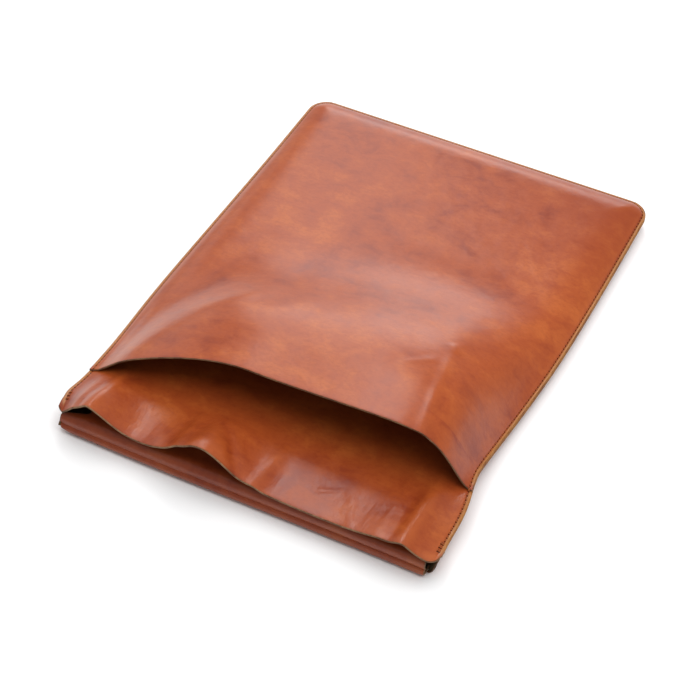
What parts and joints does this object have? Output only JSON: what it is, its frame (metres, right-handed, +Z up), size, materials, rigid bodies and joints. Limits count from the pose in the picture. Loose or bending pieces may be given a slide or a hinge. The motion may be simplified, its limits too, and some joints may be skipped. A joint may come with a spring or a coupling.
{
  "type": "laptop sleeve",
  "caption": "Slim leather laptop sleeve lying on its back, with a tuck-in closing flap, a laptop pocket and a bulging accessory pocket on its front.",
  "frame": {"origin": "centre of the flat underside, halfway between the mouth fold and the closed end", "axes": "+Y towards the closed end, +Z up out of the accessory pocket's side, +X to the right when looking in at the mouth"},
  "size_m": [0.242, 0.3295, 0.049],
  "materials": {
    "leather": "smooth glossy pull-up leather in mottled tan brown, with a dark brown suede back and an ochre cut edge",
    "thread": "waxed polyester, dark red brown"
  },
  "bodies": {
    "sleeve": {"back_panel": "leather", "middle_panel": "leather", "front_panel": "leather", "needle_thread": "thread", "bobbin_thread": "thread"},
    "flap": {"flap_wall": "leather"},
    "tongue": {"flap_tongue": "leather"},
    "laptop_lip": {"middle_lip": "leather"},
    "pocket_lip": {"front_lip": "leather"}
  },
  "joints": [
    {"name": "flap_fold", "type": "hinge", "parent": "sleeve", "child": "flap", "pos_m": [0, -0.165, 0.0006], "axis": [1, 0, 0], "range_deg": [0, 90]},
    {"name": "flap_tuck", "type": "hinge", "parent": "flap", "child": "tongue", "pos_m": [0, -0.165, 0.0114], "axis": [1, 0, 0], "range_deg": [-36.5, 0]},
    {"name": "laptop_mouth", "type": "hinge", "parent": "sleeve", "child": "laptop_lip", "pos_m": [0, -0.1295, 0.0156], "axis": [-1, 0, 0], "range_deg": [0, 50]},
    {"name": "pocket_mouth", "type": "hinge", "parent": "sleeve", "child": "pocket_lip", "pos_m": [0, 0.0325, 0.01705], "axis": [-1, 0, 0], "range_deg": [-3, 10]}
  ],
  "couplings": [
    {"joint": "flap_tuck", "follows": "flap_fold", "ratio": -0.4},
    {"joint": "laptop_mouth", "follows": "flap_fold", "ratio": 0.55}
  ]
}
